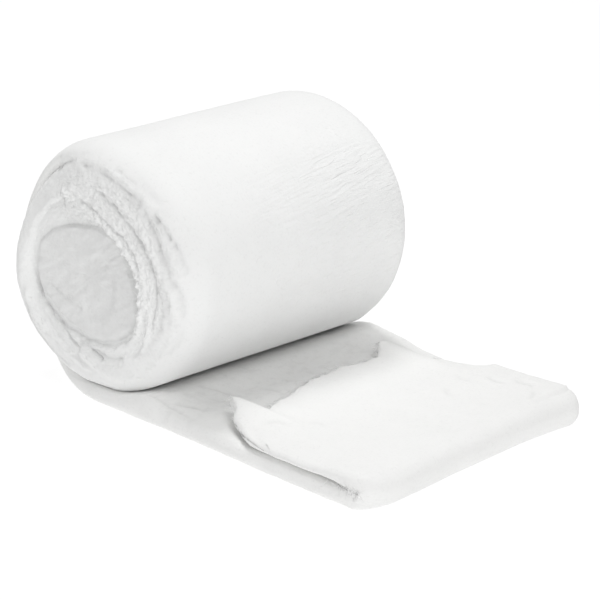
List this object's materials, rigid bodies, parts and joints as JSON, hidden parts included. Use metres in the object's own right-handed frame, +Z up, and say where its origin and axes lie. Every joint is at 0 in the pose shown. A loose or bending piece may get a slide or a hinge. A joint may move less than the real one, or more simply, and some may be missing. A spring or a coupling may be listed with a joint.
{
  "type": "gamgee roll",
  "caption": "Soft white padded dressing cloth wound into a roll on its side, its outer end laid flat and folded back on itself.",
  "frame": {"origin": "bottom centre of the whole object's bounding box, on the surface that it lies on", "axes": "+Z up; the roll's axis lies along Y, with its open end that the picture shows at -Y; the loose end lies towards +X"},
  "size_m": [0.4574, 0.3124, 0.2391],
  "materials": {
    "wound_cloth": "matte",
    "loose_cloth": "matte"
  },
  "bodies": {
    "root": {"wound_roll": "wound_cloth", "loose_end": "loose_cloth"}
  },
  "joints": []
}
